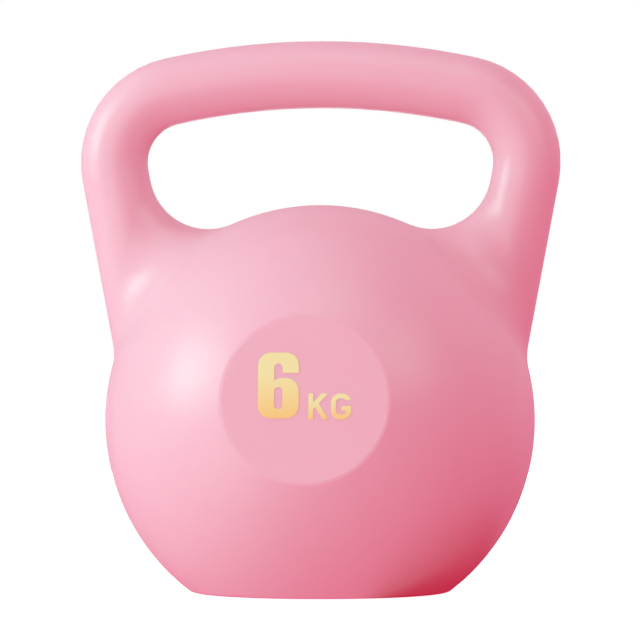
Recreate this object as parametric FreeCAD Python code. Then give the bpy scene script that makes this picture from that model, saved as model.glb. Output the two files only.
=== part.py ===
# A 6 kg kettlebell of the filled-shell kind. Its pieces are a blow-moulded polyethylene shell that
# forms the ball and the handle in one skin, a bent steel core bar inside the handle, a mortar
# ballast cast round the bar, a press-in plug with its washer in the filling neck, and a non-slip
# base pad on an adhesive ring. A weight mark in gold foil is stamped on the front flat.
#
# Frame: millimetres, +Z up, X along the grip, the marked flat facing -Y. The origin is on the floor,
# straight below the ball's centre. Each piece is written to parts/NAME.step.
import FreeCAD, Part
import math
import os

# ---- driving dimensions of the ball and handle ----
BALL_DIAMETER = 180.0
BASE_DIAMETER = 108.0  # where the ball would meet the base plane if that edge were sharp
BASE_EDGE_RADIUS = 5.0
WINDOW_HEIGHT = 40.8  # from the ball's crown to the underside of the grip
GRIP_DIAMETER = 28.0
HANDLE_WIDTH = 201.6  # outside, across both legs at their widest
GRIP_ARCH_RADIUS = 293.0  # centreline of the gently arched grip
HANDLE_CORNER_RADIUS = 30.5  # centreline of the bends between grip and legs
LEG_JOIN_RISE = 26.0  # height above the ball's centre where a leg's outer side meets the ball
LEG_ROOT_FILLET = 25.0
SHELL_WALL = 2.5

# ---- flats on the front and back of the ball ----
FLAT_DIAMETER = 68.5
FLAT_TILT_DEG = 6.8  # the flats look slightly upwards
FLAT_EDGE_RADIUS = 3.5

# ---- base pad, plug and filling neck ----
PAD_OUTER_DIAMETER = 84.0
PAD_THICKNESS = 2.6
PAD_STAND_PROUD = 0.5  # how far the pad lifts the shell's base off the floor
PAD_CLEARANCE = 0.4  # all round, between the pad's edges and the shell
PAD_GROOVES = 4
PAD_GROOVE_WIDTH = 1.4
PAD_GROOVE_DEPTH = 0.7
ADHESIVE_THICKNESS = 0.2
ADHESIVE_MARGIN = 1.0  # how far the adhesive stops short of the pad's edges
NECK_BORE_DIAMETER = 34.0
NECK_WALL = 2.5
NECK_HEIGHT = 9.0
PLUG_FLANGE_OVERLAP = 4.0  # how far the flange reaches past the bore
PLUG_FLANGE_THICKNESS = 1.8
PLUG_SINK = 0.8  # the flange's face stays this far above the floor
PLUG_DISH_DEPTH = 0.6
PLUG_SPIGOT_CLEARANCE = 0.5  # between the spigot and the bore, bridged by the barbs
PLUG_SPIGOT_WALL = 1.8
PLUG_RIB_THICKNESS = 1.5
PLUG_BARBS = 3
PLUG_BARB_HEIGHT = 1.2
PLUG_SNAP_REACH = 0.6  # how far the snap bead hooks over the neck's end
PLUG_SNAP_HEIGHT = 1.6
PLUG_SEAT_CLEARANCE = 0.8  # between the flange's rim and the seat's wall
WASHER_THICKNESS = 1.0
WASHER_CLEARANCE = 0.5
POUR_GAP = 1.5  # the mortar is levelled this far above the plug's inner end

# ---- steel core bar ----
CORE_DIAMETER = 10.0
CORE_FOOT_DROP = 38.0  # the anchoring feet's axis below the ball's centre, where the ball is wide
CORE_BEND_RADIUS = 20.0
CORE_FOOT_GAP = 44.0  # between the two facing ends

# ---- weight mark ----
FOIL_THICKNESS = 0.15
MARK_RISE = 5.8  # the mark's centre above the flat's centre
MARK_GAP = 3.9  # between the numeral and the first unit letter
NUMERAL_HEIGHT = 26.6
NUMERAL_WIDTH = 16.5
NUMERAL_STEM = 6.6
NUMERAL_ARM = 4.5  # thickness of the hook's level stroke
NUMERAL_BOWL_BAND = 3.7  # thickness of the bowl's level strokes
NUMERAL_BOWL_HEIGHT = 16.3
NUMERAL_SHOULDER = 2.0  # how far the bowl's rounded shoulder starts inside the stem
NUMERAL_TERMINAL = 8.2  # the upper hook's height on the open side
NUMERAL_CORNER_RADIUS = 5.2
NUMERAL_COUNTER_RADIUS = 1.6
LETTER_HEIGHT = 10.5
LETTER_DROP = 0.4  # how far the letters' feet are below the numeral's
LETTER_STROKE = 2.0
LETTER_K_WIDTH = 8.6
LETTER_G_WIDTH = 8.2
LETTER_GAP = 0.5

# ---- places worked out from the sizes above ----
BALL_RADIUS = BALL_DIAMETER / 2
GRIP_RADIUS = GRIP_DIAMETER / 2
BASE_Z = PAD_STAND_PROUD
BALL_Z = BASE_Z + math.sqrt(BALL_RADIUS**2 - (BASE_DIAMETER / 2) ** 2)
GRIP_AXIS_Z = BALL_Z + BALL_RADIUS + WINDOW_HEIGHT + GRIP_RADIUS
ARCH_CENTRE_Z = GRIP_AXIS_Z - GRIP_ARCH_RADIUS
CORNER_X = HANDLE_WIDTH / 2 - GRIP_RADIUS - HANDLE_CORNER_RADIUS
CORNER_Z = ARCH_CENTRE_Z + math.sqrt((GRIP_ARCH_RADIUS - HANDLE_CORNER_RADIUS) ** 2 - CORNER_X**2)

PAD_OUTER_RADIUS = PAD_OUTER_DIAMETER / 2
BORE_RADIUS = NECK_BORE_DIAMETER / 2
FLANGE_RADIUS = BORE_RADIUS + PLUG_FLANGE_OVERLAP
SPIGOT_RADIUS = BORE_RADIUS - PLUG_SPIGOT_CLEARANCE
SEAT_RADIUS = FLANGE_RADIUS + PLUG_SEAT_CLEARANCE
PAD_RECESS_Z = PAD_THICKNESS + ADHESIVE_THICKNESS
FLANGE_TOP_Z = PLUG_SINK + PLUG_FLANGE_THICKNESS
SEAT_Z = FLANGE_TOP_Z + WASHER_THICKNESS
CAVITY_FLOOR_Z = max(PAD_RECESS_Z, SEAT_Z) + SHELL_WALL
NECK_TOP_Z = SEAT_Z + NECK_HEIGHT
PLUG_TOP_Z = NECK_TOP_Z + PLUG_SNAP_HEIGHT

FLAT_DISTANCE = math.sqrt(BALL_RADIUS**2 - (FLAT_DIAMETER / 2) ** 2)
BALL_CENTRE = FreeCAD.Vector(0, 0, BALL_Z)
Z_AXIS = FreeCAD.Vector(0, 0, 1)


def leg_splay():
    """Angle of a leg from the vertical, in radians: its outer side touches the outside of the
    corner bend and passes through the point where it meets the ball."""
    join_x = math.sqrt(BALL_RADIUS**2 - LEG_JOIN_RISE**2)
    join_z = BALL_Z + LEG_JOIN_RISE
    reach = math.hypot(join_x - CORNER_X, CORNER_Z - join_z)
    lean = math.atan2(join_x - CORNER_X, CORNER_Z - join_z)
    return math.asin((HANDLE_CORNER_RADIUS + GRIP_RADIUS) / reach) - lean


def handle_point(angle, radius=HANDLE_CORNER_RADIUS):
    """Point at an angle from +X round the right-hand corner bend's centre."""
    return FreeCAD.Vector(CORNER_X + radius * math.cos(angle), 0, CORNER_Z + radius * math.sin(angle))


def mirrored(point):
    """The same point on the other leg."""
    return FreeCAD.Vector(-point.x, point.y, point.z)


def leg_direction():
    """Unit vector down the right-hand leg."""
    return FreeCAD.Vector(-math.sin(leg_splay()), 0, -math.cos(leg_splay()))


def leg_start():
    """Where the right-hand leg's straight axis begins, at the end of the corner bend."""
    return handle_point(-leg_splay())


def leg_at_height(z):
    """Point of the right-hand leg's axis at a given height."""
    run = (z - leg_start().z) / leg_direction().z
    return leg_start() + leg_direction() * run


def upper_edges():
    """The grip's arch and the two corner bends, from left to right."""
    bend_end = math.acos(CORNER_X / (GRIP_ARCH_RADIUS - HANDLE_CORNER_RADIUS))
    arch_end = handle_point(bend_end)
    bend_middle = handle_point((bend_end - leg_splay()) / 2)
    crown = FreeCAD.Vector(0, 0, GRIP_AXIS_Z)
    return [
        Part.Arc(mirrored(leg_start()), mirrored(bend_middle), mirrored(arch_end)).toShape(),
        Part.Arc(mirrored(arch_end), crown, arch_end).toShape(),
        Part.Arc(arch_end, bend_middle, leg_start()).toShape(),
    ]


def swept_rod(edges, radius, start, direction):
    """A round rod along joined edges, from its start point and first direction."""
    section = Part.Wire(Part.makeCircle(radius, start, direction))
    return Part.Wire(edges).makePipeShell([section], True, True, 0)


def handle_tube(radius):
    """Grip, bends and legs as one round rod whose ends are buried in the ball."""
    foot = leg_at_height(BALL_Z)
    edges = [
        Part.LineSegment(mirrored(foot), mirrored(leg_start())).toShape(),
        *upper_edges(),
        Part.LineSegment(leg_start(), foot).toShape(),
    ]
    upwards = leg_direction() * -1
    return swept_rod(edges, radius, mirrored(foot), mirrored(upwards))


def root_fillet():
    """The leg roots' fillet, no larger than the straight part of the leg leaves room for."""
    splay = leg_splay()
    inner_start = handle_point(-splay, HANDLE_CORNER_RADIUS - GRIP_RADIUS) - BALL_CENTRE
    into_window = FreeCAD.Vector(-math.cos(splay), 0, math.sin(splay))
    room = (inner_start.Length**2 - BALL_RADIUS**2) / (2 * (BALL_RADIUS - into_window.dot(inner_start)))
    return min(LEG_ROOT_FILLET, 0.95 * room)


def revolved(edges):
    """Solid of revolution round Z from a closed outline in the YZ plane. Its seam is turned away
    from the flats and the legs."""
    solid = Part.Face(Part.Wire(edges)).revolve(FreeCAD.Vector(), Z_AXIS, 360)
    solid.rotate(FreeCAD.Vector(), Z_AXIS, 45)
    return solid


def truncated_ball(radius, bottom_z, edge_radius):
    """The ball with a flat bottom and a rounded bottom edge."""
    edge_z = bottom_z + edge_radius
    edge_y = math.sqrt((radius - edge_radius) ** 2 - (BALL_Z - edge_z) ** 2)
    edge_centre = FreeCAD.Vector(0, edge_y, edge_z)
    outwards = (edge_centre - BALL_CENTRE).normalize()
    bottom = FreeCAD.Vector(0, 0, bottom_z)
    rim = FreeCAD.Vector(0, edge_y, bottom_z)
    tangent = BALL_CENTRE + outwards * radius
    bisector = (outwards + FreeCAD.Vector(0, 0, -1)).normalize()
    crown = BALL_CENTRE + Z_AXIS * radius
    side = BALL_CENTRE + FreeCAD.Vector(0, radius, 0)
    return revolved([
        Part.LineSegment(bottom, rim).toShape(),
        Part.Arc(rim, edge_centre + bisector * edge_radius, tangent).toShape(),
        Part.Arc(tangent, side, crown).toShape(),
        Part.LineSegment(crown, bottom).toShape(),
    ])


def flat_normal(side):
    """Outward normal of a flat: side is -1 for the front and +1 for the back."""
    tilt = math.radians(FLAT_TILT_DEG)
    return FreeCAD.Vector(0, side * math.cos(tilt), math.sin(tilt))


def cut_flat(ball, side, distance, edge_radius):
    """Planes one flat off the ball and rounds its rim."""
    normal = flat_normal(side)
    centre = BALL_CENTRE + normal * distance
    planed = ball.cut(Part.makeCylinder(BALL_RADIUS, BALL_RADIUS, centre, normal))
    rim = [edge for edge in planed.Edges if edge.CenterOfMass.isEqual(centre, 0.01)]
    return planed.makeFillet(edge_radius, rim)


def ball_and_handle(inset, bottom_z):
    """The outer form, or the same form moved inwards by an inset."""
    ball = truncated_ball(BALL_RADIUS - inset, bottom_z, BASE_EDGE_RADIUS - inset)
    for side in (-1, 1):
        ball = cut_flat(ball, side, FLAT_DISTANCE - inset, FLAT_EDGE_RADIUS - inset)
    joined = ball.fuse(handle_tube(GRIP_RADIUS - inset))
    return joined.makeFillet(root_fillet() + inset, leg_roots(joined)).Solids[0]


def leg_roots(joined):
    """The edges where the handle's round legs enter the ball."""
    roots = []
    for edge in joined.Edges:
        surfaces = {type(face.Surface).__name__ for face in joined.ancestorsOfType(edge, Part.Face)}
        if surfaces == {"Sphere", "Cylinder"}:
            roots.append(edge)
    return roots


def disc(radius, low_z, high_z):
    """A round disc or column standing on the Z axis."""
    return Part.makeCylinder(radius, high_z - low_z, FreeCAD.Vector(0, 0, low_z))


def ring(inner_radius, outer_radius, low_z, high_z):
    """A flat ring on the Z axis."""
    return disc(outer_radius, low_z, high_z).cut(disc(inner_radius, low_z, high_z))


def make_shell():
    """Ball and handle in one hollow skin, open only at the filling neck in its base."""
    outer = ball_and_handle(0, BASE_Z)
    neck = disc(BORE_RADIUS + NECK_WALL, 0, NECK_TOP_Z)
    cavity = ball_and_handle(SHELL_WALL, CAVITY_FLOOR_Z).cut(neck)
    pad_recess = ring(SEAT_RADIUS, PAD_OUTER_RADIUS + PAD_CLEARANCE, 0, PAD_RECESS_Z)
    seat = disc(SEAT_RADIUS, 0, SEAT_Z)
    bore = disc(BORE_RADIUS, 0, NECK_TOP_Z)
    shell = outer.cut(cavity)
    for void in (pad_recess, seat, bore):
        shell = shell.cut(void)
    return shell


def make_handle_core():
    """Bent steel bar along the handle, its legs ending in inward feet that anchor it."""
    foot_z = BALL_Z - CORE_FOOT_DROP
    splay = leg_splay()
    turn = math.pi / 2 - splay
    setback = CORE_BEND_RADIUS * math.tan(turn / 2)
    corner = leg_at_height(foot_z)
    bend_start = corner - leg_direction() * setback
    bend_end = corner - FreeCAD.Vector(setback, 0, 0)
    inwards = FreeCAD.Vector(-math.cos(splay), 0, math.sin(splay))
    bend_centre = bend_start + inwards * CORE_BEND_RADIUS
    to_corner = (corner - bend_centre).normalize()
    bend_middle = bend_centre + to_corner * CORE_BEND_RADIUS
    foot_end = FreeCAD.Vector(CORE_FOOT_GAP / 2, 0, foot_z)
    edges = [
        Part.LineSegment(mirrored(foot_end), mirrored(bend_end)).toShape(),
        Part.Arc(mirrored(bend_end), mirrored(bend_middle), mirrored(bend_start)).toShape(),
        Part.LineSegment(mirrored(bend_start), mirrored(leg_start())).toShape(),
        *upper_edges(),
        Part.LineSegment(leg_start(), bend_start).toShape(),
        Part.Arc(bend_start, bend_middle, bend_end).toShape(),
        Part.LineSegment(bend_end, foot_end).toShape(),
    ]
    return swept_rod(edges, CORE_DIAMETER / 2, mirrored(foot_end), FreeCAD.Vector(-1, 0, 0))


def make_ballast(core):
    """Mortar that fills the shell round the core bar, levelled above the plug."""
    pocket = disc(BORE_RADIUS + NECK_WALL, 0, PLUG_TOP_Z + POUR_GAP)
    return ball_and_handle(SHELL_WALL, CAVITY_FLOOR_Z).cut(pocket).cut(core)


def spigot_collar(tip_radius, low_z, height):
    """A barb or bead round the spigot: widest at its lower end and tapering to the spigot."""
    cone = Part.makeCone(tip_radius, SPIGOT_RADIUS, height, FreeCAD.Vector(0, 0, low_z))
    return cone.cut(disc(SPIGOT_RADIUS - PLUG_SPIGOT_WALL, low_z, low_z + height))


def make_fill_plug():
    """Press-in plug: a dished flange, and a hollow spigot with barbs, a snap bead at its inner
    end and a cross of ribs inside."""
    spigot_bore = SPIGOT_RADIUS - PLUG_SPIGOT_WALL
    flange = disc(FLANGE_RADIUS, PLUG_SINK, FLANGE_TOP_Z)
    rims = [edge for edge in flange.Edges if edge.isClosed()]
    plug = flange.makeFillet(PLUG_FLANGE_THICKNESS / 4, rims)
    plug = plug.cut(disc(spigot_bore, 0, PLUG_SINK + PLUG_DISH_DEPTH))
    plug = plug.fuse(ring(spigot_bore, SPIGOT_RADIUS, FLANGE_TOP_Z, PLUG_TOP_Z))
    pitch = (NECK_TOP_Z - SEAT_Z) / (PLUG_BARBS + 1)
    for row in range(1, PLUG_BARBS + 1):
        plug = plug.fuse(spigot_collar(BORE_RADIUS, SEAT_Z + row * pitch, PLUG_BARB_HEIGHT))
    plug = plug.fuse(spigot_collar(BORE_RADIUS + PLUG_SNAP_REACH, NECK_TOP_Z, PLUG_SNAP_HEIGHT))
    rib_height = NECK_TOP_Z - FLANGE_TOP_Z
    rib_corner = FreeCAD.Vector(-SPIGOT_RADIUS, -PLUG_RIB_THICKNESS / 2, FLANGE_TOP_Z)
    rib = Part.makeBox(2 * SPIGOT_RADIUS, PLUG_RIB_THICKNESS, rib_height, rib_corner)
    rib = rib.common(disc(SPIGOT_RADIUS - PLUG_SPIGOT_WALL / 2, FLANGE_TOP_Z, NECK_TOP_Z))
    crossing_rib = rib.copy()
    crossing_rib.rotate(FreeCAD.Vector(), Z_AXIS, 90)
    return plug.fuse([rib, crossing_rib]).removeSplitter()


def make_plug_washer():
    """Flat rubber washer squeezed between the plug's flange and the shell's seat."""
    return ring(SPIGOT_RADIUS + WASHER_CLEARANCE, FLANGE_RADIUS - WASHER_CLEARANCE, FLANGE_TOP_Z, SEAT_Z)


def make_base_pad():
    """Non-slip rubber ring that the kettlebell stands on, with grooves round its underside."""
    inner = SEAT_RADIUS + PAD_CLEARANCE
    pad = ring(inner, PAD_OUTER_RADIUS, 0, PAD_THICKNESS)
    pitch = (PAD_OUTER_RADIUS - inner) / (PAD_GROOVES + 1)
    for row in range(1, PAD_GROOVES + 1):
        middle = inner + row * pitch
        low = middle - PAD_GROOVE_WIDTH / 2
        pad = pad.cut(ring(low, low + PAD_GROOVE_WIDTH, 0, PAD_GROOVE_DEPTH))
    return pad


def make_pad_adhesive():
    """Double-sided adhesive ring that holds the pad in its recess."""
    inner = SEAT_RADIUS + PAD_CLEARANCE + ADHESIVE_MARGIN
    return ring(inner, PAD_OUTER_RADIUS - ADHESIVE_MARGIN, PAD_THICKNESS, PAD_RECESS_Z)


def slab(u, v, width, height, corner=0.0):
    """A foil-thick plate in the mark's own plane, u to the right and v up, corners rounded."""
    plate = Part.makeBox(width, height, FOIL_THICKNESS, FreeCAD.Vector(u, v, 0))
    if corner <= 0:
        return plate
    upright = [edge for edge in plate.Edges if edge.BoundBox.ZLength > FOIL_THICKNESS / 2]
    return plate.makeFillet(corner, upright)


def stroke(start, end):
    """A letter's straight stroke with square ends, between two points of the mark's plane."""
    run = FreeCAD.Vector(end[0] - start[0], end[1] - start[1], 0)
    bar = Part.makeBox(run.Length, LETTER_STROKE, FOIL_THICKNESS, FreeCAD.Vector(0, -LETTER_STROKE / 2, 0))
    bar.rotate(FreeCAD.Vector(), Z_AXIS, math.degrees(math.atan2(run.y, run.x)))
    bar.translate(FreeCAD.Vector(start[0], start[1], 0))
    return bar


def numeral_six():
    """The numeral 6: a stem that hooks over, and a closed bowl whose shoulder dips to the stem."""
    inner_width = NUMERAL_WIDTH - 2 * NUMERAL_STEM
    outline = slab(0, 0, NUMERAL_WIDTH, NUMERAL_HEIGHT, NUMERAL_CORNER_RADIUS)
    throat = slab(NUMERAL_STEM, 0, inner_width, NUMERAL_HEIGHT - NUMERAL_ARM, NUMERAL_COUNTER_RADIUS)
    gap = slab(NUMERAL_STEM, 0, NUMERAL_WIDTH, NUMERAL_HEIGHT - NUMERAL_TERMINAL)
    hook = outline.cut(throat).cut(gap)

    half = NUMERAL_BOWL_HEIGHT / 2
    shoulder_left = NUMERAL_STEM - NUMERAL_SHOULDER
    shoulder_width = NUMERAL_WIDTH - shoulder_left
    shoulder = slab(shoulder_left, 0, shoulder_width, NUMERAL_BOWL_HEIGHT, NUMERAL_CORNER_RADIUS)
    upper = shoulder.common(slab(0, half, NUMERAL_WIDTH, half))
    lower = outline.common(slab(0, 0, NUMERAL_WIDTH, half))
    counter_height = NUMERAL_BOWL_HEIGHT - 2 * NUMERAL_BOWL_BAND
    counter = slab(NUMERAL_STEM, NUMERAL_BOWL_BAND, inner_width, counter_height, NUMERAL_COUNTER_RADIUS)
    return hook.fuse(lower).fuse(upper).cut(counter).removeSplitter()


def letter_k():
    """The letter K from three straight strokes, trimmed to its box."""
    half = LETTER_STROKE / 2
    knee = (half, LETTER_HEIGHT * 0.42)
    arm_tip = (LETTER_K_WIDTH - half, LETTER_HEIGHT + half)
    leg_top = (LETTER_K_WIDTH * 0.36, LETTER_HEIGHT * 0.6)
    leg_tip = (LETTER_K_WIDTH - half, -half)
    letter = slab(0, 0, LETTER_STROKE, LETTER_HEIGHT)
    letter = letter.fuse(stroke(knee, arm_tip)).fuse(stroke(leg_top, leg_tip))
    return letter.common(slab(0, 0, LETTER_K_WIDTH, LETTER_HEIGHT)).removeSplitter()


def letter_g():
    """The letter G: a rounded ring opened at the right, with a bar turned in."""
    radius = LETTER_G_WIDTH * 0.45
    ring_outer = slab(0, 0, LETTER_G_WIDTH, LETTER_HEIGHT, radius)
    inner_width = LETTER_G_WIDTH - 2 * LETTER_STROKE
    inner_height = LETTER_HEIGHT - 2 * LETTER_STROKE
    ring_inner = slab(LETTER_STROKE, LETTER_STROKE, inner_width, inner_height, radius - LETTER_STROKE)
    bar_top = LETTER_HEIGHT * 0.52
    opening_top = LETTER_HEIGHT - LETTER_STROKE * 1.35
    opening = slab(LETTER_G_WIDTH / 2, bar_top, LETTER_G_WIDTH, opening_top - bar_top)
    bar = slab(LETTER_G_WIDTH * 0.52, bar_top - LETTER_STROKE, LETTER_G_WIDTH * 0.48, LETTER_STROKE)
    return ring_outer.cut(ring_inner).cut(opening).fuse(bar).removeSplitter()


def on_front_flat(shape, u, v):
    """Moves a plate from the mark's plane to the front flat, u and v from the flat's centre."""
    normal = flat_normal(-1)
    right = FreeCAD.Vector(1, 0, 0)
    up = normal.cross(right)
    origin = BALL_CENTRE + normal * FLAT_DISTANCE + right * u + up * v
    turn = FreeCAD.Rotation(right, up, normal, "ZXY")
    placed = shape.copy()
    placed.Placement = FreeCAD.Placement(origin, turn).multiply(shape.Placement)
    return placed


def mark_origin():
    """Lower left corner of the whole mark, from the flat's centre."""
    letters = MARK_GAP + LETTER_K_WIDTH + LETTER_GAP + LETTER_G_WIDTH
    return -(NUMERAL_WIDTH + letters) / 2, MARK_RISE - NUMERAL_HEIGHT / 2


def make_weight_numeral():
    """The stamped numeral."""
    left, foot = mark_origin()
    return on_front_flat(numeral_six(), left, foot)


def make_unit_letters():
    """The stamped unit, K and G as two separate pieces of foil."""
    left, foot = mark_origin()
    k_left = left + NUMERAL_WIDTH + MARK_GAP
    g_left = k_left + LETTER_K_WIDTH + LETTER_GAP
    foot -= LETTER_DROP
    letters = [on_front_flat(letter_k(), k_left, foot), on_front_flat(letter_g(), g_left, foot)]
    return Part.makeCompound(letters)


def main():
    """Builds every piece and writes it to parts/."""
    os.makedirs("parts", exist_ok=True)
    core = make_handle_core()
    pieces = {
        "shell": make_shell(),
        "handle_core": core,
        "ballast": make_ballast(core),
        "fill_plug": make_fill_plug(),
        "plug_washer": make_plug_washer(),
        "base_pad": make_base_pad(),
        "pad_adhesive": make_pad_adhesive(),
        "weight_numeral": make_weight_numeral(),
        "unit_letters": make_unit_letters(),
    }
    for name, shape in pieces.items():
        shape.exportStep(f"parts/{name}.step")
        volume_cm3 = round(shape.Volume / 1000, 2)
        print(name, "solids", len(shape.Solids), "valid", shape.isValid(), "cm3", volume_cm3)


main()
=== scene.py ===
"""Finish and studio setting of a 6 kg filled-shell kettlebell.

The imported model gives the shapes. This file gives each piece its material, lays the mould's parting
line on the shell, puts a moulded rubber pad in place of the plain one, and sets the bell on a light
table in a rose studio. Lengths are in metres, in the model's own frame: +Z up, the marked flat
facing -Y.
"""

import math

import bmesh
import bpy
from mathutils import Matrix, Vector
from mathutils.bvhtree import BVHTree


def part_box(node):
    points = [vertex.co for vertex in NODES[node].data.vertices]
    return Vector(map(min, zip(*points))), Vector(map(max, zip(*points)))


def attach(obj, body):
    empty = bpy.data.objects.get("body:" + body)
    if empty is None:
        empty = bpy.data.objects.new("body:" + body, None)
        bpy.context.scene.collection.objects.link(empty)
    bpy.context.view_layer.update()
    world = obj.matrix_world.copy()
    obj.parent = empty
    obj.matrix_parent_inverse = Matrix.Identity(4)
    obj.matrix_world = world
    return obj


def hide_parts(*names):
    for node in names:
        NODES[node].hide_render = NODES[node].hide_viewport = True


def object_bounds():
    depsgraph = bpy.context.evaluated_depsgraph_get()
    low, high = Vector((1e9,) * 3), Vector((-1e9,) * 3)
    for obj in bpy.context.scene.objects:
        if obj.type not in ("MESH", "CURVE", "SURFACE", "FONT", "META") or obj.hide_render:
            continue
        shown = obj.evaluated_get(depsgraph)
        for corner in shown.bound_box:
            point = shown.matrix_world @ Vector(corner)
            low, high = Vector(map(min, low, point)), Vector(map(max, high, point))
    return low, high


bl_info = {
    "name": "Kettlebell Finish",
    "version": (1, 0, 0),
    "blender": (4, 5, 0),
    "location": "View3D > Sidebar > Kettlebell",
    "description": "Materials, parting line, moulded pad and studio stage for a filled-shell kettlebell",
    "category": "Object",
}

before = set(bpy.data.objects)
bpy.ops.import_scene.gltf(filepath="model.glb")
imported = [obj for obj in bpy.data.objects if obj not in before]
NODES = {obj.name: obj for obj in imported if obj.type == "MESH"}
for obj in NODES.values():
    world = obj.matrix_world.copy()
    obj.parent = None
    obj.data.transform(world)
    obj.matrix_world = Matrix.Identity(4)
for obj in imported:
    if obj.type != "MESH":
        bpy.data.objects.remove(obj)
CAD_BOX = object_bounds()
MM = 0.001
TOP_Z = CAD_BOX[1].z
SIDE_X = CAD_BOX[1].x

# The parting line is found by rays in the plane y = 0: inwards to the shell's outline, and outwards
# from the middle of the handle's window.
SEAM_CENTRE = 0.42  # height that the outline's rays aim at, as a share of the bell's
WINDOW_CENTRE = 0.79  # height that the window's rays start from, as a share of the bell's
SEAM_OPEN_HALF = math.radians(33)  # half the angle at the foot where the line stops
SEAM_SIDESTEP = Vector((0, 0.02 * MM, 0))  # keeps the rays off the mesh edges that lie in the plane
SEAM_STEPS = 720
WINDOW_STEPS = 360
SEAM_BOX_CLEARANCE = 0.03 * MM  # the bead stays this far inside the bell's widest and highest points
SEAM_SINK = 0.02 * MM  # the bead's rims lie this far under the shell's face
BEAD_SHARES = (-1.0, -0.6, -0.25, 0.25, 0.6, 1.0)  # the section's points, as shares of its half width

PAD_SEGMENTS = 180
PAD_ARC_STEPS = 4  # steps in each rounded corner of the pad's section
GROOVE_FLOOR_SHARE = 0.7  # width of a groove's floor, as a share of its mouth's

FOIL_WARM_SHARE = 0.65  # share of a mark's height over which the foil pales

TABLE_HALF = 12.0
SENSOR_WIDTH_MM = 36.0
LAMP_DISTANCE = 1.5  # from the bell's middle
# The powers were fitted to the wanted tones by a separate program, on test renders, and rounded. A
# fill lights the bell with no reflection of its own.
LAMPS = (
    # name, turn from the camera and rise in degrees, side in metres, power in watts, in the gloss
    ("key_left", -74, 19, 0.70, 8.5, True),
    ("front", -20, 5, 0.80, 2.5, True),
    ("right", 50, 30, 0.80, 4.7, True),
    ("top_front", 15, 60, 0.80, 3.0, True),
    ("back", 180, -6, 0.40, 3.0, True),
    ("fill_low_left", -50, -25, 0.80, 11.0, False),
    ("fill_left", -78, 20, 0.80, 12.0, False),
    ("fill_right", 50, 30, 0.80, 2.6, False),
    ("fill_top", 0, 89, 0.80, 2.6, False),
    ("fill_back", 180, 15, 0.80, 10.0, False),
    ("fill_back_right", 140, 15, 0.80, 4.0, False),
)
WALL_BLEND = 0.4  # the walls turn from the lower to the upper rose over this much either side of level
# The foot card paints shade on the foot from under the table.
CARD_SHIFT = 0.075  # towards +X, away from the key
CARD_RADIUS = 0.07
CARD_DROP = 0.002  # under the table's face
CARD_SEGMENTS = 64
BLACK = (0.0, 0.0, 0.0)
WHITE = (1.0, 1.0, 1.0)


def from_hex(colour):
    """Turns an sRGB hex colour such as #F3B5C6 to three linear values."""
    channels = [int(colour[i : i + 2], 16) / 255 for i in (1, 3, 5)]
    return [c / 12.92 if c <= 0.04045 else ((c + 0.055) / 1.055) ** 2.4 for c in channels]


def add_node(tree, kind, inputs=None, links=None, **settings):
    """Adds a node, sets its own settings and input values, and links its inputs to other sockets."""
    node = tree.nodes.new(kind)
    for name, value in settings.items():
        setattr(node, name, value)
    for name, value in (inputs or {}).items():
        node.inputs[name].default_value = value
    for name, socket in (links or {}).items():
        tree.links.new(socket, node.inputs[name])
    return node


def per_size(length):
    """Texture scale at which a pattern repeats about once in this length."""
    return 1 / length


def new_material(name):
    """A material with a Principled shader. Returns the material, its tree and the shader."""
    material = bpy.data.materials.new(name)
    material.use_nodes = True
    tree = material.node_tree
    tree.nodes.clear()
    shader = add_node(tree, "ShaderNodeBsdfPrincipled")
    add_node(tree, "ShaderNodeOutputMaterial", links={"Surface": shader.outputs["BSDF"]})
    return material, tree, shader


def rgba(colour):
    """A colour with full alpha, for a socket."""
    return (*colour, 1.0)


def shaded(colour, factor):
    """A colour made lighter or darker by a factor."""
    return rgba([c * factor for c in colour])


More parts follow.
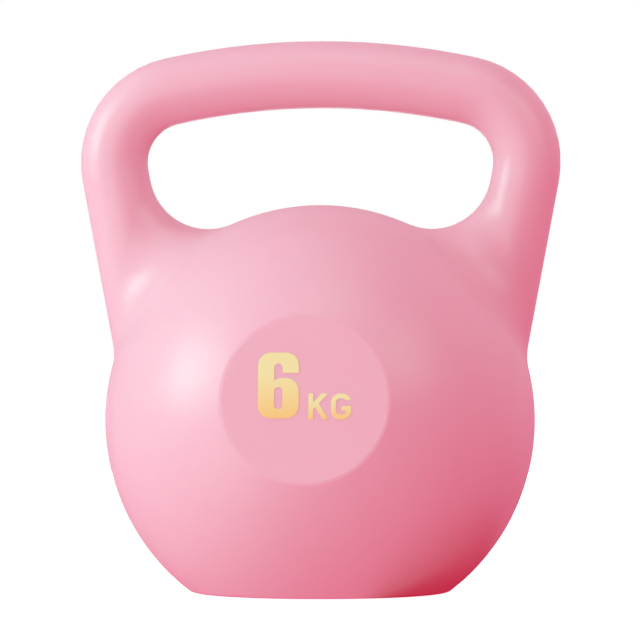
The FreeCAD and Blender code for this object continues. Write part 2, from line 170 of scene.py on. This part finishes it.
def moulded_polyethylene(name, colour, roughness, grain, grain_depth):
    """Coloured polyethylene from a blasted steel mould."""
    # Polyethylene is waxy: light goes a little way in, so its shadows keep their colour and its
    # highlights are broad and soft. The blasted mould leaves a fine satin grain, and the wall's
    # cooling leaves a slow waviness. A real blasted grain is about 0.1 mm. That is too fine to show,
    # so the settings draw it coarser, at 0.7 mm.
    material, tree, shader = new_material(name)
    place = add_node(tree, "ShaderNodeTexCoord").outputs["Object"]
    cloud = add_node(
        tree,
        "ShaderNodeTexNoise",
        inputs={"Scale": per_size(60 * MM), "Detail": 2.0, "Roughness": 0.45},
        links={"Vector": place},
    )
    tone = add_node(
        tree,
        "ShaderNodeMix",
        data_type="RGBA",
        inputs={"A": shaded(colour, 0.985), "B": shaded(colour, 1.015)},
        links={"Factor": cloud.outputs["Fac"]},
    )
    tree.links.new(tone.outputs["Result"], shader.inputs["Base Color"])
    rub = add_node(
        tree,
        "ShaderNodeTexNoise",
        inputs={"Scale": per_size(14 * MM), "Detail": 3.0, "Roughness": 0.6},
        links={"Vector": place},
    )
    rub_level = add_node(
        tree,
        "ShaderNodeMapRange",
        inputs={
            "From Min": 0.3,
            "From Max": 0.7,
            "To Min": roughness - 0.03,
            "To Max": roughness + 0.04,
        },
        links={"Value": rub.outputs["Fac"]},
    )
    tree.links.new(rub_level.outputs["Result"], shader.inputs["Roughness"])
    waviness = add_node(
        tree,
        "ShaderNodeTexNoise",
        inputs={"Scale": per_size(30 * MM), "Detail": 1.0},
        links={"Vector": place},
    )
    slow = add_node(
        tree,
        "ShaderNodeBump",
        inputs={"Strength": 1.0, "Distance": 0.12 * MM},
        links={"Height": waviness.outputs["Fac"]},
    )
    grain = add_node(
        tree,
        "ShaderNodeTexNoise",
        inputs={"Scale": per_size(grain), "Detail": 2.0, "Roughness": 0.5},
        links={"Vector": place},
    )
    fine = add_node(
        tree,
        "ShaderNodeBump",
        inputs={"Strength": 1.0, "Distance": grain_depth},
        links={"Height": grain.outputs["Fac"], "Normal": slow.outputs["Normal"]},
    )
    tree.links.new(fine.outputs["Normal"], shader.inputs["Normal"])
    shader.inputs["IOR"].default_value = 1.51
    shader.inputs["Subsurface Weight"].default_value = 0.25
    shader.inputs["Subsurface Radius"].default_value = (1.0, 0.35, 0.4)
    shader.inputs["Subsurface Scale"].default_value = 3.0 * MM
    return material


def stamped_gold_foil(name, node, top_colour, foot_colour):
    """Hot-stamped gold pigment foil."""
    # Stamped foil is thin and matt: it takes the satin of the plastic under it, and its colour goes from
    # pale gold at the top of the mark to a warmer gold at its foot. Its speckle is finer than 0.1 mm in
    # truth, and is drawn at 0.8 mm so that it can show.
    material, tree, shader = new_material(name)
    place = add_node(tree, "ShaderNodeTexCoord").outputs["Object"]
    low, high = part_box(node)
    pale_from = low.z + (high.z - low.z) * FOIL_WARM_SHARE
    height = add_node(tree, "ShaderNodeSeparateXYZ", links={"Vector": place})
    share = add_node(
        tree,
        "ShaderNodeMapRange",
        inputs={"From Min": low.z, "From Max": pale_from},
        links={"Value": height.outputs["Z"]},
    )
    speckle = add_node(
        tree,
        "ShaderNodeTexNoise",
        inputs={"Scale": per_size(0.8 * MM), "Detail": 2.0},
        links={"Vector": place},
    )
    mixed = add_node(
        tree,
        "ShaderNodeMix",
        data_type="RGBA",
        inputs={"A": rgba(foot_colour), "B": rgba(top_colour)},
        links={"Factor": share.outputs["Result"]},
    )
    tree.links.new(mixed.outputs["Result"], shader.inputs["Base Color"])
    level = add_node(
        tree,
        "ShaderNodeMapRange",
        inputs={"To Min": 0.36, "To Max": 0.5},
        links={"Value": speckle.outputs["Fac"]},
    )
    tree.links.new(level.outputs["Result"], shader.inputs["Roughness"])
    shader.inputs["Metallic"].default_value = 0.35
    return material


def moulded_rubber(name, colour):
    """Compression-moulded charcoal rubber."""
    # Dense rubber is dark and matt with a faint bloom, and shows the sandblast of its mould. Real
    # blast grit leaves marks of about 0.1 mm. They are drawn at 0.35 mm so that they can show.
    material, tree, shader = new_material(name)
    place = add_node(tree, "ShaderNodeTexCoord").outputs["Object"]
    bloom = add_node(
        tree,
        "ShaderNodeTexNoise",
        inputs={"Scale": per_size(9 * MM), "Detail": 4.0, "Roughness": 0.6},
        links={"Vector": place},
    )
    tone = add_node(
        tree,
        "ShaderNodeMix",
        data_type="RGBA",
        inputs={"A": shaded(colour, 0.8), "B": shaded(colour, 1.5)},
        links={"Factor": bloom.outputs["Fac"]},
    )
    tree.links.new(tone.outputs["Result"], shader.inputs["Base Color"])
    grit = add_node(
        tree,
        "ShaderNodeTexNoise",
        inputs={"Scale": per_size(0.35 * MM), "Detail": 1.0},
        links={"Vector": place},
    )
    rough = add_node(
        tree,
        "ShaderNodeBump",
        inputs={"Strength": 1.0, "Distance": 0.03 * MM},
        links={"Height": grit.outputs["Fac"]},
    )
    tree.links.new(rough.outputs["Normal"], shader.inputs["Normal"])
    shader.inputs["Roughness"].default_value = 0.72
    shader.inputs["IOR"].default_value = 1.52
    return material


def cast_mortar(name, colour):
    """Set sand-cement mortar."""
    # Mortar is grey and dead matt, with sand grains and pinholes from trapped air.
    material, tree, shader = new_material(name)
    place = add_node(tree, "ShaderNodeTexCoord").outputs["Object"]
    sand = add_node(
        tree,
        "ShaderNodeTexVoronoi",
        inputs={"Scale": per_size(1.2 * MM)},
        links={"Vector": place},
    )
    tone = add_node(
        tree,
        "ShaderNodeMix",
        data_type="RGBA",
        inputs={"A": shaded(colour, 0.8), "B": shaded(colour, 1.15)},
        links={"Factor": sand.outputs["Distance"]},
    )
    tree.links.new(tone.outputs["Result"], shader.inputs["Base Color"])
    pits = add_node(
        tree,
        "ShaderNodeBump",
        inputs={"Strength": 1.0, "Distance": 0.3 * MM},
        links={"Height": sand.outputs["Distance"]},
    )
    tree.links.new(pits.outputs["Normal"], shader.inputs["Normal"])
    shader.inputs["Roughness"].default_value = 0.95
    return material


def rolled_steel(name, colour):
    """Hot-rolled mild steel bar."""
    # Rolling leaves a blue-grey mill scale, patchy and duller than bright steel.
    material, tree, shader = new_material(name)
    place = add_node(tree, "ShaderNodeTexCoord").outputs["Object"]
    scale = add_node(
        tree,
        "ShaderNodeTexNoise",
        inputs={"Scale": per_size(6 * MM), "Detail": 5.0, "Roughness": 0.65},
        links={"Vector": place},
    )
    tone = add_node(
        tree,
        "ShaderNodeMix",
        data_type="RGBA",
        inputs={"A": shaded(colour, 0.6), "B": shaded(colour, 1.3)},
        links={"Factor": scale.outputs["Fac"]},
    )
    tree.links.new(tone.outputs["Result"], shader.inputs["Base Color"])
    shader.inputs["Metallic"].default_value = 1.0
    shader.inputs["Roughness"].default_value = 0.5
    return material


def adhesive_film(name, colour):
    """Double-sided acrylic film."""
    # The film is milky and slightly glossy, with a faint cloud of trapped air.
    material, tree, shader = new_material(name)
    place = add_node(tree, "ShaderNodeTexCoord").outputs["Object"]
    air = add_node(
        tree,
        "ShaderNodeTexNoise",
        inputs={"Scale": per_size(3 * MM), "Detail": 3.0},
        links={"Vector": place},
    )
    tone = add_node(
        tree,
        "ShaderNodeMix",
        data_type="RGBA",
        inputs={"A": shaded(colour, 0.9), "B": shaded(colour, 1.05)},
        links={"Factor": air.outputs["Fac"]},
    )
    tree.links.new(tone.outputs["Result"], shader.inputs["Base Color"])
    shader.inputs["Roughness"].default_value = 0.4
    return material


def finish_node(node, material):
    """Gives a CAD node its material."""
    piece = NODES[node]
    piece.data.materials.clear()
    piece.data.materials.append(material)


def new_piece(name, mesh, material):
    """Shows a mesh as a piece of the bell, smooth shaded."""
    mesh.materials.append(material)
    mesh.shade_smooth()
    piece = bpy.data.objects.new(name, mesh)
    bpy.context.scene.collection.objects.link(piece)
    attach(piece, "root")
    return piece


def mesh_from(name, bm):
    """Turns a bmesh to a mesh with its faces outwards, and frees it."""
    bmesh.ops.recalc_face_normals(bm, faces=bm.faces)
    mesh = bpy.data.meshes.new(name)
    bm.to_mesh(mesh)
    bm.free()
    return mesh


def sheath(bm, rings, closed):
    """Skins faces between rings of points of the same count. Unless closed, both ends are capped."""
    loops = [[bm.verts.new(point) for point in points] for points in rings]
    pairs = list(zip(loops, loops[1:]))
    if closed:
        pairs.append((loops[-1], loops[0]))
    for one, other in pairs:
        for i, vertex in enumerate(one):
            bm.faces.new((vertex, one[i - 1], other[i - 1], other[i]))
    if not closed:
        bm.faces.new(loops[0])
        bm.faces.new(loops[-1])


def rounded_outline(corners, steps):
    """An outline whose corners, given as (x, z, radius), become arcs of that radius."""
    points = []
    for i, (x, z, radius) in enumerate(corners):
        here = Vector((x, z))
        before = (Vector(corners[i - 1][:2]) - here).normalized()
        after = (Vector(corners[(i + 1) % len(corners)][:2]) - here).normalized()
        half = before.angle(after) / 2
        centre = here + (before + after).normalized() * radius / math.sin(half)
        start = (here + before * radius / math.tan(half) - centre).normalized()
        end = (here + after * radius / math.tan(half) - centre).normalized()
        for step in range(steps + 1):
            points.append(centre + start.slerp(end, step / steps) * radius)
    return points


def turned(outline, segments):
    """Rings of points that an outline of (radius, height) makes round the Z axis."""
    rings = []
    for step in range(segments):
        angle = 2 * math.pi * step / segments
        rings.append([(p.x * math.cos(angle), p.x * math.sin(angle), p.y) for p in outline])
    return rings


def seen_points(tree, pairs):
    """Where rays from start to end first meet the shell, and the outward directions there, at y = 0."""
    chain = []
    for start, end in pairs:
        point, normal, _, _ = tree.ray_cast(start + SEAM_SIDESTEP, (end - start).normalized())
        if point is None:
            raise RuntimeError("the parting line's ray misses the shell")
        if normal.dot(end - start) > 0:  # the mesh's normal may point either way
            normal = -normal
        point.y = 0
        normal.y = 0
        chain.append((point, normal.normalized()))
    return chain


def upright(angle):
    """Unit vector in the plane y = 0, at an angle up from +X."""
    return Vector((math.cos(angle), 0, math.sin(angle)))


def parting_chains():
    """Where the mould's halves met: from pad to pad round the outline, and round the handle's window."""
    bm = bmesh.new()
    bm.from_mesh(NODES["shell"].data)
    tree = BVHTree.FromBMesh(bm)
    bm.free()
    centre = Vector((0, 0, SEAM_CENTRE * TOP_Z))
    window = Vector((0, 0, WINDOW_CENTRE * TOP_Z))
    first = -math.pi / 2 + SEAM_OPEN_HALF
    sweep = 2 * math.pi - 2 * SEAM_OPEN_HALF
    outer = []
    for step in range(SEAM_STEPS + 1):
        outer.append((centre + upright(first + sweep * step / SEAM_STEPS), centre))
    inner = []
    for step in range(WINDOW_STEPS):
        inner.append((window, window + upright(2 * math.pi * step / WINDOW_STEPS)))
    return [(seen_points(tree, outer), False), (seen_points(tree, inner), True)]


def seam_rings(chain, width, height):
    """Cross sections of a low rounded bead along a chain of points in the plane y = 0."""
    rings = []
    for point, out in chain:
        room = min(TOP_Z - point.z, SIDE_X - abs(point.x))
        rise = min(height, max(room - SEAM_BOX_CLEARANCE, 0))
        top = []
        for share in BEAD_SHARES:
            level = math.cos(share * math.pi / 2) * rise - SEAM_SINK
            top.append(point + Vector((0, share * width / 2, 0)) + out * level)
        foot = [point + Vector((0, y, 0)) - out * 2 * SEAM_SINK for y in (width / 2, -width / 2)]
        rings.append(top + foot)
    return rings


class KettlebellShell(bpy.types.PropertyGroup):
    """The blow-moulded shell."""

    colour: bpy.props.FloatVectorProperty(
        name="Colour", description="Shell plastic", subtype="COLOR", default=from_hex("#EEA6B8")
    )
    roughness: bpy.props.FloatProperty(
        name="Roughness",
        description="Satin of the blasted mould",
        subtype="FACTOR",
        default=0.34,
        min=0.0,
        max=1.0,
    )
    grain: bpy.props.FloatProperty(
        name="Grain", description="Size of the mould's grain", subtype="DISTANCE", default=0.7 * MM
    )
    grain_depth: bpy.props.FloatProperty(
        name="Grain depth",
        description="Depth of the mould's grain",
        subtype="DISTANCE",
        default=0.008 * MM,
    )
    seam_width: bpy.props.FloatProperty(
        name="Parting line width", description="Across the bead", subtype="DISTANCE", default=0.8 * MM
    )
    seam_height: bpy.props.FloatProperty(
        name="Parting line height", description="Of the bead", subtype="DISTANCE", default=0.12 * MM
    )


class KettlebellMark(bpy.types.PropertyGroup):
    """The stamped weight mark."""

    top_colour: bpy.props.FloatVectorProperty(
        name="Top colour",
        description="Foil at the top of the mark",
        subtype="COLOR",
        default=from_hex("#F4E0A5"),
    )
    foot_colour: bpy.props.FloatVectorProperty(
        name="Foot colour",
        description="Foil at the foot of the mark",
        subtype="COLOR",
        default=from_hex("#F9C67D"),
    )


class KettlebellBase(bpy.types.PropertyGroup):
    """The pad, plug and washer in the base."""

    rubber_colour: bpy.props.FloatVectorProperty(
        name="Rubber colour", description="Pad and washer", subtype="COLOR", default=from_hex("#2E2A2C")
    )
    plug_colour: bpy.props.FloatVectorProperty(
        name="Plug colour", description="Filling plug", subtype="COLOR", default=from_hex("#E691A6")
    )
    plug_roughness: bpy.props.FloatProperty(
        name="Plug roughness",
        description="Satin of the plug's mould",
        subtype="FACTOR",
        default=0.35,
        min=0.0,
        max=1.0,
    )
    plug_gap: bpy.props.FloatProperty(
        name="Gap at the plug", description="Between plug and pad", subtype="DISTANCE", default=1.2 * MM
    )
    grooves: bpy.props.IntProperty(
        name="Grooves", description="Grooves round the pad's underside", default=4
    )
    groove_width: bpy.props.FloatProperty(
        name="Groove width", description="At the pad's face", subtype="DISTANCE", default=1.4 * MM
    )
    groove_depth: bpy.props.FloatProperty(
        name="Groove depth", description="From the pad's face", subtype="DISTANCE", default=0.7 * MM
    )
    edge_radius: bpy.props.FloatProperty(
        name="Edge radius",
        description="Rounding of the pad's rims",
        subtype="DISTANCE",
        default=0.4 * MM,
    )


class KettlebellInside(bpy.types.PropertyGroup):
    """The pieces sealed inside."""

    mortar_colour: bpy.props.FloatVectorProperty(
        name="Mortar colour", description="Filling", subtype="COLOR", default=from_hex("#9A968E")
    )
    steel_colour: bpy.props.FloatVectorProperty(
        name="Steel colour", description="Core bar", subtype="COLOR", default=from_hex("#8A8C90")
    )
    film_colour: bpy.props.FloatVectorProperty(
        name="Film colour", description="Film over the pad", subtype="COLOR", default=from_hex("#DEDCD4")
    )


class KettlebellStage(bpy.types.PropertyGroup):
    """Camera, lights and surround."""

    azimuth: bpy.props.FloatProperty(
        name="Azimuth",
        description="Camera's turn round the bell",
        subtype="ANGLE",
        default=math.radians(4.3),
    )
    distance: bpy.props.FloatProperty(
        name="Distance", description="Camera to the bell's axis", subtype="DISTANCE", default=1.9
    )
    height: bpy.props.FloatProperty(
        name="Height",
        description="Camera's height above the table",
        subtype="DISTANCE",
        default=0.1144,
    )
    lens: bpy.props.FloatProperty(
        name="Lens", description="Camera's focal length", unit="CAMERA", default=254.8
    )
    upper_colour: bpy.props.FloatVectorProperty(
        name="Upper walls",
        description="Light from above the bell",
        subtype="COLOR",
        default=from_hex("#E3A3B8"),
    )
    lower_colour: bpy.props.FloatVectorProperty(
        name="Lower walls",
        description="Light from below the bell",
        subtype="COLOR",
        default=from_hex("#E96D98"),
    )
    # Glow of the foot card, which paints shade on the foot.
    foot_shade_glow: bpy.props.FloatVectorProperty(
        name="Foot card",
        description="Glow of the card under the foot",
        subtype="COLOR",
        default=from_hex("#CE1045"),
    )
    box_colour: bpy.props.FloatVectorProperty(
        name="Soft boxes",
        description="Tint of the soft boxes",
        subtype="COLOR",
        default=from_hex("#94FFEA"),
    )


class KETTLEBELL_OT_shell(bpy.types.Operator):
    """Finishes the shell in satin polyethylene"""

    bl_idname = "kettlebell.shell"
    bl_label = "Shell"

    def execute(self, context):
        look = context.scene.kettlebell_shell
        plastic = moulded_polyethylene(
            "polyethylene_blow_moulded_satin",
            look.colour,
            look.roughness,
            look.grain,
            look.grain_depth,
        )
        finish_node("shell", plastic)
        return {"FINISHED"}


class KETTLEBELL_OT_parting_line(bpy.types.Operator):
    """Lays the fine bead where the mould's halves met"""

    bl_idname = "kettlebell.parting_line"
    bl_label = "Parting line"

    def execute(self, context):
        look = context.scene.kettlebell_shell
        bm = bmesh.new()
        for chain, closed in parting_chains():
            sheath(bm, seam_rings(chain, look.seam_width, look.seam_height), closed)
        plastic = NODES["shell"].data.materials[0]
        new_piece("parting_line", mesh_from("parting_line", bm), plastic)
        return {"FINISHED"}


class KETTLEBELL_OT_pad(bpy.types.Operator):
    """Moulds the rubber pad with rounded lands and grooves"""

    bl_idname = "kettlebell.pad"
    bl_label = "Base pad"

    def execute(self, context):
        look = context.scene.kettlebell_base
        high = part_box("base_pad")[1]
        outer, top = high.x, high.z
        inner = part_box("fill_plug")[1].x + look.plug_gap
        pitch = (outer - inner) / (look.grooves + 1)
        mouth = look.groove_width / 2
        foot = mouth * GROOVE_FLOOR_SHARE
        depth = look.groove_depth
        edge = look.edge_radius
        corners = [(outer, top, edge), (inner, top, edge), (inner, 0, edge)]
        for row in range(1, look.grooves + 1):
            middle = inner + row * pitch
            corners += [(middle - mouth, 0, edge / 2), (middle - foot, depth, edge / 2)]
            corners += [(middle + foot, depth, edge / 2), (middle + mouth, 0, edge / 2)]
        corners.append((outer, 0, edge))
        bm = bmesh.new()
        sheath(bm, turned(rounded_outline(corners, PAD_ARC_STEPS), PAD_SEGMENTS), True)
        rubber = moulded_rubber("rubber_compression_moulded", look.rubber_colour)
        pad = new_piece("base_pad_moulded", mesh_from("base_pad_moulded", bm), rubber)
        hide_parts("base_pad")
        finish_node("plug_washer", rubber)
        return {"FINISHED"}


class KETTLEBELL_OT_mark(bpy.types.Operator):
    """Finishes the numeral and the unit letters in gold foil"""

    bl_idname = "kettlebell.mark"
    bl_label = "Weight mark"

    def execute(self, context):
        look = context.scene.kettlebell_mark
        for node in ("weight_numeral", "unit_letters"):
            name = "gold_foil_hot_stamped_" + node
            foil = stamped_gold_foil(name, node, look.top_colour, look.foot_colour)
            finish_node(node, foil)
        return {"FINISHED"}


class KETTLEBELL_OT_plug(bpy.types.Operator):
    """Finishes the filling plug"""

    bl_idname = "kettlebell.plug"
    bl_label = "Filling plug"

    def execute(self, context):
        look = context.scene.kettlebell_base
        shell = context.scene.kettlebell_shell
        plastic = moulded_polyethylene(
            "polyethylene_injection_moulded",
            look.plug_colour,
            look.plug_roughness,
            shell.grain,
            shell.grain_depth,
        )
        finish_node("fill_plug", plastic)
        return {"FINISHED"}


class KETTLEBELL_OT_inside(bpy.types.Operator):
    """Finishes the pieces sealed inside"""

    bl_idname = "kettlebell.inside"
    bl_label = "Inside"

    def execute(self, context):
        look = context.scene.kettlebell_inside
        finish_node("ballast", cast_mortar("mortar_cast", look.mortar_colour))
        finish_node("handle_core", rolled_steel("steel_hot_rolled", look.steel_colour))
        finish_node("pad_adhesive", adhesive_film("acrylic_film", look.film_colour))
        return {"FINISHED"}


def around(turn, rise):
    """Unit vector at a turn from the -Y side towards +X and a rise above level, both in degrees."""
    across, upward = math.radians(turn), math.radians(rise)
    level = math.cos(upward)
    return Vector((math.sin(across) * level, -math.cos(across) * level, math.sin(upward)))


def soft_box(name, middle, direction, side, power, colour, in_gloss):
    """A square soft light that faces the bell. The camera doesn't see it."""
    data = bpy.data.lights.new(name, "AREA")
    data.size = side
    data.energy = power
    data.color = colour
    lamp = bpy.data.objects.new(name, data)
    lamp.location = middle + direction * LAMP_DISTANCE
    lamp.rotation_euler = (-direction).to_track_quat("-Z", "Y").to_euler()
    lamp.visible_camera = False
    lamp.visible_glossy = in_gloss
    bpy.context.scene.collection.objects.link(lamp)


def rose_surround(name, upper, lower, backdrop):
    """The studio's walls: rose above, deeper rose below, and the backdrop's colour to the camera."""
    world = bpy.data.worlds.new(name)
    world.use_nodes = True
    tree = world.node_tree
    tree.nodes.clear()
    direction = add_node(tree, "ShaderNodeTexCoord").outputs["Generated"]
    height = add_node(tree, "ShaderNodeSeparateXYZ", links={"Vector": direction})
    rise = add_node(
        tree,
        "ShaderNodeMapRange",
        interpolation_type="SMOOTHSTEP",
        inputs={"From Min": -WALL_BLEND, "From Max": WALL_BLEND},
        links={"Value": height.outputs["Z"]},
    )
    walls = add_node(
        tree,
        "ShaderNodeMix",
        data_type="RGBA",
        inputs={"A": rgba(lower), "B": rgba(upper)},
        links={"Factor": rise.outputs["Result"]},
    )
    wall_light = add_node(tree, "ShaderNodeBackground", links={"Color": walls.outputs["Result"]})
    behind = add_node(tree, "ShaderNodeBackground", inputs={"Color": rgba(backdrop)})
    seen = add_node(tree, "ShaderNodeLightPath").outputs["Is Camera Ray"]
    # The mix's two shader inputs share one name, so its inputs are linked by number.
    sides = {0: seen, 1: wall_light.outputs["Background"], 2: behind.outputs["Background"]}
    mix = add_node(tree, "ShaderNodeMixShader", links=sides)
    add_node(tree, "ShaderNodeOutputWorld", links={"Surface": mix.outputs["Shader"]})
    return world


def glowing_shade_card(name, glow):
    """Black card with a deep rose glow, which paints shade on the foot."""
    # It gives the foot a darker and redder light than the walls do: painted shade, standing in for the
    # shade the bell's own foot would cast on the table.
    material, _, shader = new_material(name)
    shader.inputs["Base Color"].default_value = rgba(BLACK)
    shader.inputs["Specular IOR Level"].default_value = 0.0
    shader.inputs["Emission Color"].default_value = rgba(glow)
    shader.inputs["Emission Strength"].default_value = 1.0
    return material


def foot_shade_card(name, centre, radius, glow):
    """A level round card under the side of the foot away from the key, which paints shade on the foot.
    The camera doesn't see it.
    """
    bm = bmesh.new()
    bmesh.ops.create_circle(bm, cap_ends=True, segments=CARD_SEGMENTS, radius=radius)
    bmesh.ops.translate(bm, vec=centre, verts=bm.verts)
    mesh = mesh_from(name, bm)
    mesh.materials.append(glowing_shade_card("card_painted_shade_glow", glow))
    card = bpy.data.objects.new(name, mesh)
    bpy.context.scene.collection.objects.link(card)
    card.visible_camera = False


def opal_acrylic(name):
    """Backlit opal acrylic of a light table."""
    # It glows an even white from below, so the floor stays pale right up to the bell's foot.
    material, _, shader = new_material(name)
    shader.inputs["Base Color"].default_value = rgba(from_hex("#A0A0A0"))
    shader.inputs["Roughness"].default_value = 0.6
    shader.inputs["Emission Color"].default_value = rgba(WHITE)
    shader.inputs["Emission Strength"].default_value = 1.0
    return material


def light_table(name, half):
    """A square table top at the bell's foot. Only the camera sees its glow."""
    mesh = bpy.data.meshes.new(name)
    corners = [(-half, -half, 0), (half, -half, 0), (half, half, 0), (-half, half, 0)]
    mesh.from_pydata(corners, [], [(0, 1, 2, 3)])
    mesh.materials.append(opal_acrylic("acrylic_opal_backlit"))
    table = bpy.data.objects.new(name, mesh)
    bpy.context.scene.collection.objects.link(table)
    table.visible_diffuse = False
    table.visible_glossy = False
    table.visible_shadow = False


def level_camera(name, middle, direction, distance, lens):
    """A level camera on the side that direction points to, looking at the bell's axis."""
    data = bpy.data.cameras.new(name)
    data.lens = lens
    data.sensor_width = SENSOR_WIDTH_MM
    camera = bpy.data.objects.new(name, data)
    camera.location = middle + direction * distance
    camera.rotation_euler = (-direction).to_track_quat("-Z", "Y").to_euler()
    bpy.context.scene.collection.objects.link(camera)
    return camera


class KETTLEBELL_OT_stage(bpy.types.Operator):
    """Makes the camera, the white light table, the glowing card that paints shade on the foot, the rose
    walls and the soft boxes
    """

    bl_idname = "kettlebell.stage"
    bl_label = "Stage"

    def execute(self, context):
        look = context.scene.kettlebell_stage
        scene = context.scene
        scene.view_settings.view_transform = "Standard"
        middle = Vector((0, 0, look.height))
        turn = math.degrees(look.azimuth)
        scene.camera = level_camera("camera", middle, around(turn, 0), look.distance, look.lens)
        light_table("light_table", TABLE_HALF)
        foot_shade_card("foot_shade_card", (CARD_SHIFT, 0, -CARD_DROP), CARD_RADIUS, look.foot_shade_glow)
        scene.world = rose_surround("rose_surround", look.upper_colour, look.lower_colour, WHITE)
        for name, lamp_turn, rise, side, power, in_gloss in LAMPS:
            direction = around(turn + lamp_turn, rise)
            soft_box(name, middle, direction, side, power, look.box_colour, in_gloss)
        return {"FINISHED"}


class KETTLEBELL_PT_panel(bpy.types.Panel):
    """Lists the kettlebell's steps in the sidebar"""

    bl_label = "Kettlebell"
    bl_idname = "KETTLEBELL_PT_panel"
    bl_space_type = "VIEW_3D"
    bl_region_type = "UI"
    bl_category = "Kettlebell"

    def draw(self, context):
        for step in STEPS:
            self.layout.operator(step.bl_idname)


SETTINGS = {
    "kettlebell_shell": KettlebellShell,
    "kettlebell_mark": KettlebellMark,
    "kettlebell_base": KettlebellBase,
    "kettlebell_inside": KettlebellInside,
    "kettlebell_stage": KettlebellStage,
}
STEPS = (
    KETTLEBELL_OT_shell,
    KETTLEBELL_OT_parting_line,
    KETTLEBELL_OT_mark,
    KETTLEBELL_OT_pad,
    KETTLEBELL_OT_plug,
    KETTLEBELL_OT_inside,
    KETTLEBELL_OT_stage,
)
CLASSES = (*SETTINGS.values(), *STEPS, KETTLEBELL_PT_panel)


def register():
    """Registers the classes and hangs the settings on the scene."""
    for cls in CLASSES:
        bpy.utils.register_class(cls)
    for name, group in SETTINGS.items():
        setattr(bpy.types.Scene, name, bpy.props.PointerProperty(type=group))


def unregister():
    """Takes the settings and the classes away again."""
    for name in SETTINGS:
        delattr(bpy.types.Scene, name)
    for cls in reversed(CLASSES):
        bpy.utils.unregister_class(cls)


def main():
    """Runs every step in order."""
    register()
    for step in STEPS:
        group, name = step.bl_idname.split(".")
        getattr(getattr(bpy.ops, group), name)()


if __name__ == "__main__":
    main()
